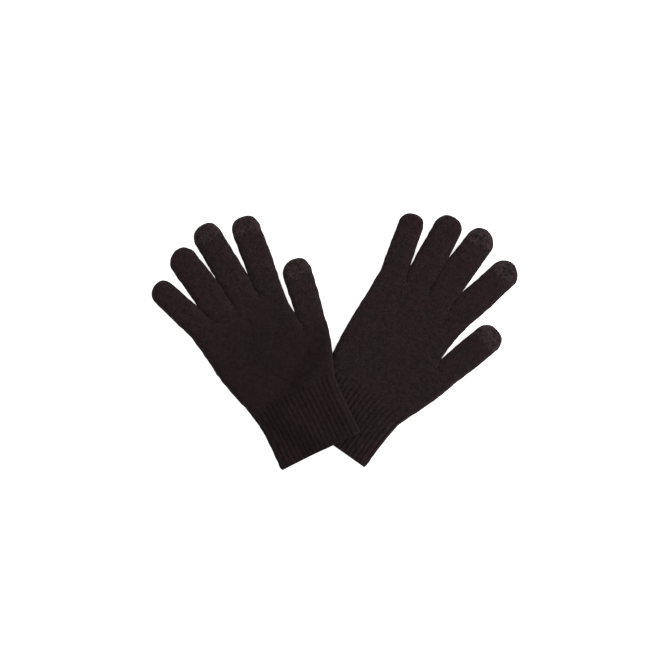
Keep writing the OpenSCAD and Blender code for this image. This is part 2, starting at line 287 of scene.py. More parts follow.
class Glove:
    """A glove's own plan: the middle of its mouth is the origin, y runs towards the fingertips."""

    def __init__(self, side):
        self.side = side
        self.body = f"{side}_glove"
        mount = next(m for m in frame["record"]["mounts"] if m["name"] == f"{side}_hand_opening")
        self.up = -np.array(mount["axis"][:2])
        self.right = to_right(self.up)
        self.origin = np.array(mount["pos_m"][:2]) / MM - MOUNT_INSET * self.up
        edge_ends = zip(self.plan_edges(f"{side}_cuff"), self.plan_edges(f"{side}_hand"))
        self.silhouette = [np.concatenate(ends) for ends in edge_ends]
        self.read_roots()

    def plan(self, points):
        d = np.asarray(points)[..., :2] - self.origin
        return np.stack([d @ self.right, d @ self.up], -1)

    def table(self, plan):
        return self.origin + plan[..., :1] * self.right + plan[..., 1:2] * self.up

    def plan_edges(self, node):
        """The two ends of each of a CAD node's edges."""
        edges = frame["nodes"][node].data.edges
        pairs = np.empty(len(edges) * 2, int)
        edges.foreach_get("vertices", pairs)
        points = self.plan(cad_points(node))
        return points[pairs[::2]], points[pairs[1::2]]

    def cad_edge(self, y, which):
        """The x of the CAD outline's left (-1) or right (1) edge at height y."""
        a, b = self.silhouette
        crossing = (a[:, 1] - y) * (b[:, 1] - y) < 0
        p, q = a[crossing], b[crossing]
        t = (y - p[:, 1]) / (q[:, 1] - p[:, 1])
        return which * np.max(which * (p[:, 0] + t * (q[:, 0] - p[:, 0])))

    def edge(self, y, which):
        """The same with the wrist's corner rounded, and swelled as the cloth is."""
        reach = WRIST_ROUND * max(0, 1 - abs(y - WRIST) / WRIST_ROUND_SPAN)
        near = [self.cad_edge(y + share * reach, which) for share in WRIST_ROUND_SHARES]
        swell = sum(
            amount * exp(-(((y - height) / length) ** 2))
            for edge, height, length, amount in SWELLS[self.side]
            if edge == which
        )
        return np.mean(near) + which * swell

    def read_roots(self):
        self.fingers = {}
        for name in (*FINGERS, "thumb"):
            joint = next(j for j in frame["joints"] if j["name"] == f"{self.side}_{name}_bend")
            width = THUMB_WIDTH if name == "thumb" else FINGER_WIDTH
            middle = self.plan(np.array(joint["pos_m"]) / MM)
            axis = np.array(joint["axis"][:2])
            along = np.array([axis @ self.right, axis @ self.up])
            tip_node = f"{self.side}_{name}_touch_tip" if name in TOUCH else f"{self.side}_{name}_finger"
            points = self.plan(cad_points(tip_node))
            tip = points[np.argmax(np.linalg.norm(points - middle, axis=1))]
            ahead = unit(tip - middle)
            k = len(self.fingers)
            tip = tip + LONGER[self.side][k] * ahead + ASIDE[self.side][k] * to_right(ahead)
            self.fingers[name] = Finger(name, middle, along, width, tip, SHOULDERS[self.side][k])
        crotches = [self.fingers[n].left for n in FINGERS] + [self.fingers["index"].right]
        self.knuckles = np.array(crotches)
        self.thumb_crotch = self.fingers["thumb"].left
        self.thumb_edge = self.fingers["thumb"].right


class Finger:
    """A finger's plan: its root's two ends, its direction, and its tip's centre and radius."""

    def __init__(self, name, middle, along, width, tip, shoulders):
        self.name = name
        self.shoulders = shoulders
        self.middle = middle
        self.along = along
        self.left = middle - along * width / 2
        self.right = middle + along * width / 2
        self.axis = unit(tip - middle)
        self.across = to_right(self.axis)
        self.radius = {"little": LITTLE_RADIUS, "thumb": THUMB_RADIUS}.get(name, TIP_RADIUS)
        self.centre = tip - self.radius * self.axis
        self.wales = THUMB_WALES if name == "thumb" else FINGER_WALES
        self.contacts = {}

    def side(self, which, t):
        """The left (-1) or right (1) edge, t of the way from the root to the tip's centre."""
        start = self.left if which < 0 else self.right
        end = self.centre + which * self.radius * self.across
        contact = self.contacts.get(which)
        if contact is None:
            swell = OUTER_SWELL[self.name] * sin(pi * t) ** 2
            return mix(start, end, t) + which * swell * self.across
        last = start + contact.length * contact.way
        chord = np.linalg.norm(end - last)
        turn = contact.length / (contact.length + chord)
        if t < turn:
            reach = smooth(t / PRESS_IN) * smooth((turn - t) / PRESS_OUT)
            return mix(start, last, t / turn) - contact.away * PRESS * reach
        u = (t - turn) / (1 - turn)
        leave = chord * unit(mix(contact.way, unit(end - last), LEAVE_TURN))
        arrive = chord * unit(mix(self.axis, unit(end - last), ARRIVE_TURN))
        return (
            (2 * u**3 - 3 * u**2 + 1) * last
            + (u**3 - 2 * u**2 + u) * leave
            + (3 * u**2 - 2 * u**3) * end
            + (u**3 - u**2) * arrive
        )


class Contact:
    """A line from a crotch along which a finger is pressed flat against its neighbour."""

    def __init__(self, crotch, way, length, away):
        self.crotch, self.way, self.length, self.away = crotch, way, length, away

    def press(self, points):
        """Points moved back to their side of the line, which bows towards the thumb with height."""
        offset = points[..., :2] - self.crotch
        bow = CONTACT_BOW * np.clip(points[..., 2] / CONTACT_HALF, -1, 1) ** 2
        past = np.maximum(CLEAR + bow * (to_right(self.way) @ self.away) - offset @ self.away, 0)
        along = offset @ self.way
        share = (along > -PRESS_BELOW) * smooth((self.length + PRESS_END - along) / PRESS_END)
        points = points.copy()
        points[..., :2] += (past * share)[..., None] * self.away
        return points


def set_contacts(glove):
    """Neighbours meet on a line between their directions, and the thumb on the palm's edge."""
    order = [glove.fingers[n] for n in FINGERS]
    *lengths, thumb_length = TOUCHING[glove.side]
    for a, b, length, lean in zip(order, order[1:], lengths, LEAN[glove.side]):
        way = unit(a.axis + b.axis)
        way = unit(way + tan(radians(lean)) * to_right(way))
        right = to_right(way)
        a.contacts[1] = Contact(a.right, way, length, -right)
        b.contacts[-1] = Contact(a.right, way, length, right)
    crotch = glove.thumb_crotch
    last_y = crotch[1] + thumb_length
    last = np.array([glove.palm_edge(last_y), last_y])
    way = unit(last - crotch)
    right = to_right(way)
    glove.fingers["thumb"].contacts[-1] = Contact(crotch, way, thumb_length, right)
    glove.palm_contact = Contact(crotch, way, thumb_length, -right)


# ---- Rings of a flat tube ----


def arch(width, n, radius, height):
    """Half a flat tube's section at n + 1 even steps along the cloth: x, z and the normal."""
    radius = min(radius, WIDEST_FOLD * width)
    fold = pi / 2 * sqrt((radius**2 + height**2) / 2)
    length = 2 * fold + width - 2 * radius
    s = np.linspace(0, length, n + 1)
    near = np.minimum(s, length - s)
    angle = np.clip(near / fold, 0, 1) * pi / 2
    inward = radius * (1 - np.cos(angle)) + np.clip(near - fold, 0, width - 2 * radius)
    left_half = s < length / 2
    x = np.where(left_half, inward, width - inward)
    z = height * np.sin(angle)
    nx = np.cos(angle) * height * np.where(left_half, -1, 1)
    nz = np.sin(angle) * radius
    size = np.hypot(nx, nz)
    return x, z, nx / size, nz / size


def along_path(path, x):
    """Points at distance x along a path of plan points."""
    lengths = np.concatenate([[0], np.cumsum(np.linalg.norm(np.diff(path, axis=0), axis=1))])
    x = x * lengths[-1] / max(x[-1], 1e-9)
    return np.stack([np.interp(x, lengths, path[:, k]) for k in (0, 1)], -1)


def half_ring(path, counts, pinch, flat_shape, pinched_shape):
    """One face of a ring over a path of plan points, pinched by 0 to 1 at its inner points."""
    chord = unit(path[-1] - path[0])
    width = np.linalg.norm(np.diff(path, axis=0), axis=1).sum()
    x, z, nx, nz = arch(width, sum(counts), *flat_shape)
    flat = np.column_stack([along_path(path, x), z])
    flat_normal = np.column_stack([nx[:, None] * chord, nz])
    if pinch <= 0:
        return flat, flat_normal
    parts, normals = [], []
    for first, n, a, b in zip((0, 1, 1, 1), counts, path, path[1:]):
        x, z, nx, nz = arch(np.linalg.norm(b - a), n, *pinched_shape)
        across = unit(b - a)
        parts.append(np.column_stack([a + x[:, None] * across, z])[first:])
        normals.append(np.column_stack([nx[:, None] * across, nz])[first:])
    pinched, pinched_normal = np.concatenate(parts), np.concatenate(normals)
    for stop in np.cumsum(counts)[:-1]:
        pinched_normal[stop] = (0, 0, 1)
    return mix(flat, pinched, pinch), units(mix(flat_normal, pinched_normal, pinch))


def mix_sections(a, b, t):
    return {face: tuple(mix(np.array(a[face]), np.array(b[face]), t)) for face in a}


def ring(path, counts, pinch=0.0, flat=PALM, pinched=FINGER, squeeze=1.0):
    """A whole ring: plan x, y, height above the fold, and the normal. It runs over, then under."""
    faces = []
    for face, sign in (("top", 1), ("bottom", -1)):
        shapes = [(r, h * squeeze) for r, h in (flat[face], pinched[face])]
        p, normal = half_ring(path, counts, pinch, *shapes)
        p[:, 2] *= sign
        normal[:, 2] *= sign
        faces.append((p, normal))
    (top, top_n), (bottom, bottom_n) = faces
    return np.concatenate([top, bottom[-2:0:-1]]), np.concatenate([top_n, bottom_n[-2:0:-1]])


# ---- Relief of the knit ----


def stitch_relief(wale, course, bead_share):
    """Plain knit: two slanting legs to a stitch, with a furrow between wales."""
    across = np.abs(wale % 1 - 0.5) * 2
    legs = 1 - (2 * across - 1) ** 2
    bead = 0.5 + 0.5 * bead_share * np.cos(2 * pi * (course + LEG_SLANT * across))
    return STITCH_DEPTH * (legs * (0.5 + 0.5 * bead) - STITCH_LEVEL)


def rib_shape(wale, y, depth):
    """The ribs' relief, and how deep in a groove each point is, from 0 to 1, by which shade is painted into the
    yarn's colour.
    """
    ridge = np.abs(np.cos(pi * (wale - 1) / RIB_WALES)) ** RIB_ROUND
    groove = np.floor((wale + 1) / RIB_WALES).astype(int)
    starts = np.random.default_rng(RIB_SEED).uniform(-RIB_STAGGER, RIB_STAGGER, ALL_WALES)
    start = WRIST + starts[groove]
    share = smooth((start + RIB_FADE - y) / (2 * RIB_FADE))
    pit = PIT_DEPTH * np.exp(-(((y - start - RIB_FADE / 2) / PIT_LENGTH) ** 2))
    return share * depth * (ridge - RIB_LEVEL) - pit * (1 - ridge), share * (1 - ridge)


# ---- Cloth: stacked rings of one tube ----


def whole(half):
    """Values for a whole ring from those of its upper half."""
    return np.concatenate([half, half[-2:0:-1]])


def ring_wales(wales):
    """The wale that each column lies on, counted from the little finger's edge."""
    return whole(np.arange(wales * COLS + 1) / COLS)


def calm_beside(stops, columns, strength):
    """1 on a ring, down to 0 at the given columns, where the cloth is drawn together."""
    column = np.arange(columns + 1)
    calm = np.ones(columns + 1)
    for stop in stops:
        calm = np.minimum(calm, 1 - strength * np.clip(1 - np.abs(column - stop) / CALM_COLS, 0, 1))
    return whole(calm)


def sub_ring(ring_columns, first, last):
    """Where columns first to last of a half ring lie in the whole ring."""
    over = np.arange(first, last + 1)
    under = 2 * ring_columns - np.arange(last - 1, first, -1)
    return np.concatenate([over, under])


FINGER_RINGS = [sub_ring(HAND_COLS, k * FINGER_COLS, (k + 1) * FINGER_COLS) for k in range(4)]
THUMB_RING = sub_ring(ALL_COLS, HAND_COLS, ALL_COLS)


class Cloth:
    """Rings of points with their normals, courses, and how much each kind of relief shows."""

    def __init__(self, glove, wales):
        self.glove = glove
        self.wales = wales
        self.rings = []

    def add(self, points, normals, course, bead=1.0, calm=1.0):
        n = len(points)
        self.rings.append((points, normals, course + np.zeros(n), bead + np.zeros(n), calm + np.zeros(n)))

    def finish(self, contacts=()):
        """Works out the outside and inside in world points, and the knit's coordinates."""
        points, normals, course, bead, calm = (np.array(column) for column in zip(*self.rings))
        wale = np.broadcast_to(self.wales, course.shape)
        ribs, groove = rib_shape(wale, points[..., 1], RIB_DEPTH[self.glove.side])
        relief = calm * stitch_relief(wale, course, bead) + ribs
        uneven = plan_noise(self.glove.table(points[..., :2]), WOBBLE_LENGTHS, WOBBLE_SEED)
        relief += calm * (PUFF + WOBBLE * uneven)
        outside = points + normals * relief[..., None]
        for contact in contacts:
            outside = contact.press(outside)
        inside = points + normals * (RIB_INSIDE * ribs - WALL * calm)[..., None]
        depth = np.abs(points[..., 2])
        inside[..., 2] = np.sign(points[..., 2]) * np.maximum(depth - WALL, LEAST_HOLLOW * depth)
        self.outside = self.world(outside)
        self.inside = self.world(inside)
        # The knit's third value holds how deep in a rib's groove a point is, by which shade is painted into the
        # yarn's colour; finger_cloth changes it for the touch tips and creases.
        self.knit = np.stack([wale, course, groove], -1)

    def world(self, points):
        table = self.glove.table(points[..., :2])
        sag = SAG * smooth(points[..., 2] / SAG_HEIGHT) * plan_noise(table, SAG_LENGTHS, SAG_SEED)
        height = FOLD_HEIGHT + points[..., 2] + sag
        height = np.maximum(height, FLOOR_CLEAR) + rise(self.glove, table)
        return np.concatenate([table, height[..., None]], -1)


def rise(glove, table):
    """How far the left glove is lifted where it lies over the right one's cuff."""
    if glove.side == "right":
        return np.zeros(table.shape[:-1])
    under = gloves["right"].plan(table)
    off = np.hypot(np.maximum(0, -UNDER_HALF - under[..., 0]), np.maximum(0, -under[..., 1]))
    return lift_height * smooth(1 - off / DRAPE)


def hem_shape(glove, points):
    """Bows and tilts the rings near the mouth."""
    middle = (points[:, 0].min() + points[:, 0].max()) / 2
    half = (points[:, 0].max() - points[:, 0].min()) / 2
    share = 1 - ((points[:, 0] - middle) / half) ** 2
    tilt = np.interp(points[:, 0], (middle - half, middle + half), HEM_TILT[glove.side])
    points[:, 1] += (HEM_BOW * share + tilt) * (1 - smooth(points[:, 1] / HEM_BOW_LENGTH))
    return points


def cuff_cloth(glove):
    cloth = Cloth(glove, ring_wales(ALL_WALES))
    n = round((WRIST - CUFF_START) / ROW)
    for k in range(n + 1):
        y = mix(CUFF_START, WRIST, k / n)
        at = np.clip(y, MOUTH_CLEAR, WRIST - JOINT_CLEAR)
        round_off = CORNER * (1 - sqrt(1 - max(0, 1 - y / CORNER) ** 2))
        left, right = glove.edge(at, -1) + round_off, glove.edge(at, 1) - round_off
        split = mix(left, right, HAND_WALES / ALL_WALES)
        path = np.array([[left, y], [split, y], [right, y]])
        points, normals = ring(path, (HAND_COLS, THUMB_COLS))
        cloth.add(hem_shape(glove, points), normals, glove.course(points))
    cloth.finish()
    return cloth


def lower_hand_cloth(glove):
    """From the wrist up to the thumb's root, where the tube pinches into the hand and the thumb."""
    cloth = Cloth(glove, ring_wales(ALL_WALES))
    side_y, thumb_y = glove.side_y, glove.thumb_edge[1]
    n = round((glove.thumb_crotch[1] - WRIST) / ROW)
    wrist_left, wrist_right = (glove.edge(WRIST - JOINT_CLEAR, which) for which in (-1, 1))
    wrist_split = np.array([mix(wrist_left, wrist_right, HAND_WALES / ALL_WALES), WRIST])
    above_wrist = WRIST + JOINT_CLEAR
    for k in range(n + 1):
        t = k / n
        left_y, right_y = mix(WRIST, side_y, t), mix(WRIST, thumb_y, t)
        left = np.array([glove.edge(np.clip(left_y, above_wrist, side_y - SIDE_CLEAR), -1), left_y])
        right = np.array([glove.edge(np.clip(right_y, above_wrist, thumb_y - THUMB_CLEAR), 1), right_y])
        right = mix(right, glove.thumb_edge, smooth((t - 1 + THUMB_TURN) / THUMB_TURN))
        split = mix(wrist_split, glove.thumb_crotch, t)
        pinch = max(0.0, 1 - (n - k) * ROW / PINCH_LENGTH) ** 2
        path = np.array([left, split, right])
        points, normals = ring(path, (HAND_COLS, THUMB_COLS), pinch, PALM, THUMB_ROOT)
        bead = np.ones(len(points))
        bead[THUMB_RING] = smooth((n - k) / BEAD_ROWS)
        calm = calm_beside([HAND_COLS], ALL_COLS, pinch)
        cloth.add(points, normals, glove.course(points), bead, calm)
    cloth.finish()
    return cloth


def upper_hand_cloth(glove):
    """From the thumb crotch up to the crotch line, where the tube pinches into four fingers."""
    cloth = Cloth(glove, ring_wales(HAND_WALES))
    side = np.array([glove.edge(glove.side_y - SIDE_CLEAR, -1), glove.side_y])
    start = np.array([mix(side, glove.thumb_crotch, k / 4) for k in range(5)])
    n = round((glove.knuckles[2, 1] - glove.thumb_crotch[1]) / ROW)
    inner_stops = [FINGER_COLS * k for k in (1, 2, 3)]
    for k in range(n + 1):
        t = k / n
        path = mix(start, glove.knuckles, t)
        left_y = np.clip(path[0, 1], glove.side_y + SIDE_CLEAR, glove.knuckles[0, 1] - ROOT_CLEAR)
        right_y = np.clip(path[4, 1], *glove.palm_edge_span)
        ends = smooth(min(t, 1 - t) / EDGE_EASE)
        path[0, 0] = mix(path[0, 0], glove.edge(left_y, -1), ends)
        path[4, 0] = mix(path[4, 0], glove.palm_edge(right_y), ends)
        pinch = max(0.0, 1 - (n - k) * ROW / PINCH_LENGTH) ** 2
        root = max(0.0, 1 - k * ROW / PINCH_LENGTH) ** 2
        points, normals = ring(path, (FINGER_COLS,) * 4, pinch, mix_sections(PALM, THUMB_ROOT, root))
        calm = calm_beside(inner_stops, HAND_COLS, pinch)
        calm = np.minimum(calm, calm_beside([HAND_COLS], HAND_COLS, root))
        cloth.add(points, normals, glove.course(points), smooth((n - k) / BEAD_ROWS), calm)
    cloth.finish([glove.palm_contact])
    return cloth


def finger_cloth(glove, finger):
    """A finger from its root over its domed tip. Its touch tip starts at the ring touch_row."""
    columns = finger.wales * COLS
    cloth = Cloth(glove, ring_wales(finger.wales))
    straight = np.linalg.norm(finger.centre - finger.middle)
    n = round(straight / ROW)
    root_shape = THUMB_ROOT if finger.name == "thumb" else FINGER
    crotch_ends = [columns if which > 0 else 0 for which in finger.contacts]
    for k in range(n + 1):
        t = k / n
        path = np.array([finger.side(-1, t), finger.side(1, t)])
        shape = mix_sections(root_shape, FINGER, smooth(t / ROOT_SHARE))
        points, normals = ring(path, (columns,), flat=shape)
        calm = calm_beside(crotch_ends, columns, max(0, 1 - k / ROOT_ROWS))
        cloth.add(points, normals, k / ROWS, smooth(k / BEAD_ROWS), calm)
    turns = round(finger.radius * DOME_LENGTH / ROW)
    last = radians(DOME_END)
    for k in range(1, turns + 1):
        angle = last * k / turns
        narrow = cos(angle)
        centre = finger.centre + finger.radius * sin(angle) * finger.axis
        left = centre - finger.radius * narrow ** finger.shoulders[0] * finger.across
        right = centre + finger.radius * narrow ** finger.shoulders[1] * finger.across
        path = np.array([left, right])
        points, normals = ring(path, (columns,), flat=FINGER, squeeze=sqrt(narrow))
        forward = np.concatenate([sin(angle) * finger.axis, [0]])
        normals = units(normals * narrow + forward)
        cloth.add(points, normals, (n + k) / ROWS, 1.0, min(1.0, DOME_CALM * narrow))
    cloth.touch_row = round((straight - (TOUCH_LENGTH - finger.radius)) / ROW)
    cloth.finish(finger.contacts.values())
    beyond = (np.arange(len(cloth.rings)) - cloth.touch_row) * ROW / TOUCH_FADE
    cloth.knit[..., 2] = -np.clip(beyond, 0, 1)[:, None]
    # Shade painted along the creases: the knit's third value rises beside each contact, which darkens the yarn and
    # takes out its sheen there.
    row = np.arange(len(cloth.rings)) * ROW
    for which, contact in finger.contacts.items():
        near = 1 - calm_beside([columns if which > 0 else 0], columns, 1.0)
        cloth.knit[..., 2] += smooth((contact.length - row) / CREASE_SHADE_FADE)[:, None] * near
    return cloth


# ---- Meshes ----


OUTER, INNER = 0, 1  # which face of the cloth a vertex is on
NEARLY_UP = (0.05, 0.08, 1.0)  # no yarn runs in this direction
SPIRAL_STEP = 0.3  # how far the spiral cover of a thread turns from ring to ring


def quads(rows, n, first, flip):
    """Faces between stacked closed rings of n vertices, numbered from first."""
    r, c = np.meshgrid(np.arange(rows - 1), np.arange(n), indexing="ij")
    a = first + r * n + c
    b = first + r * n + (c + 1) % n
    faces = np.stack([a, b, b + n, a + n], -1).reshape(-1, 4)
    return faces[:, ::-1] if flip else faces


def rim(outer, inner, flip):
    """Faces from an outer closed ring of vertices to an inner one."""
    faces = np.stack([outer, np.roll(outer, -1), np.roll(inner, -1), inner], -1)
    return faces[:, ::-1] if flip else faces


class Shell:
    """Gathers a piece's vertices, knit coordinates, fixed normals and faces."""

    def __init__(self):
        self.points, self.knit, self.kinds, self.normals, self.faces = [], [], [], [], []
        self.count = 0

    def add(self, points, knit, kind=OUTER):
        first = self.count
        flat = points.reshape(-1, 3)
        self.points.append(flat)
        self.knit.append(knit.reshape(-1, 3))
        self.kinds.append(np.full(len(flat), kind))
        self.normals.append(np.zeros((len(flat), 3)))
        self.count += len(flat)
        return first

    def face(self, faces):
        self.faces += faces.tolist()

    def cap(self, ring_points, ring_knit, base, flip, kind=OUTER):
        """Closes a ring with a fan of triangles to its middle."""
        tip = self.add(ring_points.mean(0)[None], ring_knit.mean(0)[None], kind)
        c = np.arange(len(ring_points))
        fan = np.stack([base + c, base + (c + 1) % len(c), np.full(len(c), tip)], -1)
        self.face(fan[:, ::-1] if flip else fan)

    def fix_normals(self, vertices, normals):
        """Keeps the shading unbroken between two pieces."""
        every = np.concatenate(self.normals)
        every[vertices] = normals
        self.normals = [every]

    def welded(self):
        """Vertices of one kind at one place made one, and faces that this empties left out."""
        points = np.concatenate(self.points)
        kinds = np.concatenate(self.kinds)
        key = np.column_stack([np.round(points * 1000), kinds])
        _, kept, where = np.unique(key, axis=0, return_index=True, return_inverse=True)
        where = where.ravel()
        faces = [list(dict.fromkeys(where[face].tolist())) for face in self.faces]
        faces = [face for face in faces if len(face) > 2]
        knit, normals = np.concatenate(self.knit)[kept], np.concatenate(self.normals)[kept]
        return points[kept], knit, normals, faces


class Tube:
    """A cloth's outside and inside added to a shell, open at both ends."""

    def __init__(self, shell, cloth, start=0, stop=None):
        self.shell = shell
        outside, inside, knit = (grid[start:stop] for grid in (cloth.outside, cloth.inside, cloth.knit))
        self.outside, self.inside, self.knit = outside, inside, knit
        rows, self.n = outside.shape[:2]
        kept = sorted({*range(0, rows, INNER_EVERY), rows - 1})
        first = shell.add(outside, knit)
        inner = shell.add(inside[kept], knit[kept], INNER)
        shell.face(quads(rows, self.n, first, False))
        shell.face(quads(len(kept), self.n, inner, True))
        c = np.arange(self.n)
        self.low = first + c, inner + c
        self.high = first + (rows - 1) * self.n + c, inner + (len(kept) - 1) * self.n + c

    def close_low(self):
        self.shell.face(rim(*self.low, True))

    def close_high(self, columns=slice(None)):
        outer, inner = self.high
        self.shell.face(rim(outer[columns], inner[columns], False))

    def close_tip(self):
        self.shell.cap(self.outside[-1], self.knit[-1], self.high[0][0], False)
        self.shell.cap(self.inside[-1], self.knit[-1], self.high[1][0], True, INNER)


def ring_normals(before, middle, after):
    """Normals of the middle one of three rings."""
    around = np.roll(middle, -1, 0) - np.roll(middle, 1, 0)
    return units(np.cross(around, after - before))


def add_object(name, data):
    thing = bpy.data.objects.new(name, data)
    bpy.context.scene.collection.objects.link(thing)
    return thing


def make_piece(name, shell, material):
    """An object from a shell, with its knit coordinates and rest places as attributes."""
    points, knit, normals, faces = shell.welded()
    mesh = bpy.data.meshes.new(name)
    mesh.from_pydata((points * MM).tolist(), [], faces)
    mesh.polygons.foreach_set("use_smooth", np.ones(len(faces), bool))
    for label, values in (("knit", knit), ("rest_place", points * MM)):
        attribute = mesh.attributes.new(label, "FLOAT_VECTOR", "POINT")
        attribute.data.foreach_set("vector", values.astype(np.float32).ravel())
    if normals.any():
        mesh.normals_split_custom_set_from_vertices(normals.tolist())
    mesh.materials.append(material)
    return add_object(name, mesh)


def add_yarn(shell, path, radius, sides, ply=0.0, twists=0.0, closed=False):
    """A round yarn of two plies along a path. Its knit coordinates run round it and along it."""
    path = np.asarray(path, float)
    n = len(path)
    along = np.roll(path, -1, 0) - np.roll(path, 1, 0) if closed else np.gradient(path, axis=0)
    along = units(along)
    side = units(np.cross(along, NEARLY_UP))
    up = np.cross(side, along)
    angle = 2 * pi * np.arange(sides) / sides
    turn = 2 * pi * twists * np.arange(n) / n
    r = radius * (1 + ply * np.cos(2 * (angle[None] - turn[:, None])))
    x, y = r * np.cos(angle), r * np.sin(angle)
    rings = path[:, None] + x[..., None] * side[:, None] + y[..., None] * up[:, None]
    knit = np.zeros(rings.shape)
    knit[..., 0] = np.arange(sides) / sides
    knit[..., 1] = (np.arange(n) * SPIRAL_STEP)[:, None]
    first = shell.add(rings, knit)
    last = first + (n - 1) * sides
    shell.face(quads(n, sides, first, False))
    if closed:
        shell.face(rim(last + np.arange(sides), first + np.arange(sides), False))
    else:
        shell.cap(rings[0], knit[0], first, True)
        shell.cap(rings[-1], knit[-1], last, False)


# ---- Materials ----


# How many humps of each unevenness of the yarn there are to a metre.
FIBRE_SCALE = 2600.0
TUFT_SCALE = 620.0
PATCH_SCALE = 240.0
CLOUD_SCALE = 36.0


class Nodes:
    """Short calls for building a node tree."""

    def __init__(self, name):
        self.material = bpy.data.materials.new(name)
        self.material.use_nodes = True
        self.tree = self.material.node_tree
        self.shader = self.tree.nodes["Principled BSDF"]

    def put(self, socket, value):
        if isinstance(value, bpy.types.NodeSocket):
            self.tree.links.new(value, socket)
        else:
            socket.default_value = value

    def shade(self, name, value):
        self.put(self.shader.inputs[name], value)

    def new(self, kind, inputs):
        """A node, with values or links for its inputs by name or number."""
        node = self.tree.nodes.new("ShaderNode" + kind)
        for key, value in inputs.items():
            self.put(node.inputs[key], value)
        return node

    def math(self, operation, *values):
        node = self.new("Math", dict(enumerate(values)))
        node.operation = operation
        return node.outputs[0]

    def times(self, a, b):
        return self.math("MULTIPLY", a, b)

    def plus(self, a, b):
        return self.math("ADD", a, b)

    def attribute(self, name):
        node = self.new("Attribute", {})
        node.attribute_name = name
        return node.outputs["Vector"]

    def split(self, vector):
        return self.new("SeparateXYZ", {0: vector}).outputs

    def noise(self, vector, scale, detail, roughness, distortion=0.0):
        inputs = {"Vector": vector, "Scale": scale, "Detail": detail, "Roughness": roughness}
        return self.new("TexNoise", {**inputs, "Distortion": distortion}).outputs["Fac"]

    def span(self, value, low, high, to_low, to_high):
        return self.new("MapRange", dict(enumerate((value, low, high, to_low, to_high)))).outputs[0]

    def blend(self, share, a, b):
        node = self.new("Mix", {})
        node.data_type = "RGBA"
        for name, value in (("Factor", share), ("A", a), ("B", b)):
            self.put(node.inputs[name], value)
        return node.outputs["Result"]

    def bump(self, height, strength, distance):
        inputs = {"Height": height, "Strength": strength, "Distance": distance}
        return self.new("Bump", inputs).outputs[0]


def yarn_material(name, tones, sheen, fuzz, speckle, stitched=True, base=None, shares=(1.0, 1.0), rib=0.5):
    """Matt, fuzzy, speckled yarn, with shade painted between stitches and in grooves and creases, where its tone
    falls to rib.

    Its tones come in over base's where the knit's third value falls to -1, and they change from the
    first of shares to the second between the cuff and the fingers.
    """
    n = Nodes(name)
    dark, light, dull = ((*tone, 1) for tone in tones)
    place = n.attribute("rest_place")
    fibre = n.noise(place, FIBRE_SCALE, 4.0, 0.7, 0.6)
    tuft = n.noise(place, TUFT_SCALE, 3.0, 0.6)
    patch = n.noise(place, PATCH_SCALE, 2.0, 0.5)
    cloud = n.noise(place, CLOUD_SCALE, 2.0, 0.5)
    tone = n.plus(n.times(tuft, 0.62), n.times(fibre, 0.13))
    tone = n.plus(tone, n.times(patch, 0.25))
    tone = n.span(tone, 0.5 - speckle, 0.5 + speckle, 0.0, 1.0)
    height = n.plus(n.times(fibre, 0.45), n.times(tuft, 0.55))
    if stitched:
        wale, course, groove = n.split(n.attribute("knit"))
        across = n.math("ABSOLUTE", n.math("SUBTRACT", n.math("FRACT", wale), 0.5))
        legs = n.math("ABSOLUTE", n.math("SUBTRACT", n.times(across, 4.0), 1.0))
        legs = n.math("SUBTRACT", 1.0, n.math("POWER", legs, 2.0))
        phase = n.plus(course, n.times(across, 2 * LEG_SLANT))
        bead = n.math("COSINE", n.times(phase, 2 * pi))
        yarn = n.times(legs, n.span(bead, -1.0, 1.0, 0.35, 1.0))
        # Painted shade between the stitches' legs; on the legs the tone is a little lighter.
        tone = n.times(tone, n.span(yarn, 0.0, 1.0, 0.5, 1.1))
        # Painted shade in the ribs' grooves and along the creases: the tone falls to rib at their deepest.
        tone = n.times(tone, n.span(groove, 0.1, 0.9, 1.0, rib))
        height = n.plus(height, n.times(yarn, 0.9))
        tone = n.times(tone, n.span(course, -30.0, 10.0, *shares))
    cloud = n.span(cloud, 0.4, 0.6, 0.0, 1.0)
    dyed = n.blend(cloud, light, dull)
    if base:
        base_dark, base_light, base_dull = ((*shade, 1) for shade in base)
        edge = n.plus(n.times(groove, -1.0), n.times(tuft, 1.2))
        edge = n.span(edge, 0.5, 1.2, 0.0, 1.0)
        dyed = n.blend(edge, n.blend(cloud, base_light, base_dull), dyed)
        dark = n.blend(edge, base_dark, dark)
    n.shade("Base Color", n.blend(tone, dark, dyed))
    n.shade("Roughness", n.span(tuft, 0.3, 0.7, 0.82, 1.0))
    n.shade("Normal", n.bump(height, fuzz, 0.0004))
    n.shade("Specular IOR Level", 0.1)
    # The sheen is taken out in the grooves and creases too, which deepens the shade painted there.
    if stitched:
        n.shade("Sheen Weight", n.span(groove, 0.0, 0.7, sheen, 0.0))
    else:
        n.shade("Sheen Weight", sheen)
    n.shade("Sheen Roughness", 0.38)
    n.shade("Sheen Tint", (1.0, 0.86, 0.86, 1))
    return n.material


def elastic_material():
    """Elastic thread: pale rubber core with a spiral cover."""
    n = Nodes("elastic")
    around, along, _ = n.split(n.attribute("knit"))
    spiral = n.math("SINE", n.times(n.plus(around, along), 2 * pi))
    cover = n.span(spiral, -1.0, 1.0, 0.0, 1.0)
    n.shade("Base Color", n.blend(cover, (0.05, 0.045, 0.045, 1), (0.12, 0.11, 0.105, 1)))
    n.shade("Roughness", n.span(cover, 0.0, 1.0, 0.55, 0.75))
    n.shade("Normal", n.bump(cover, 0.5, 0.0002))
    return n.material


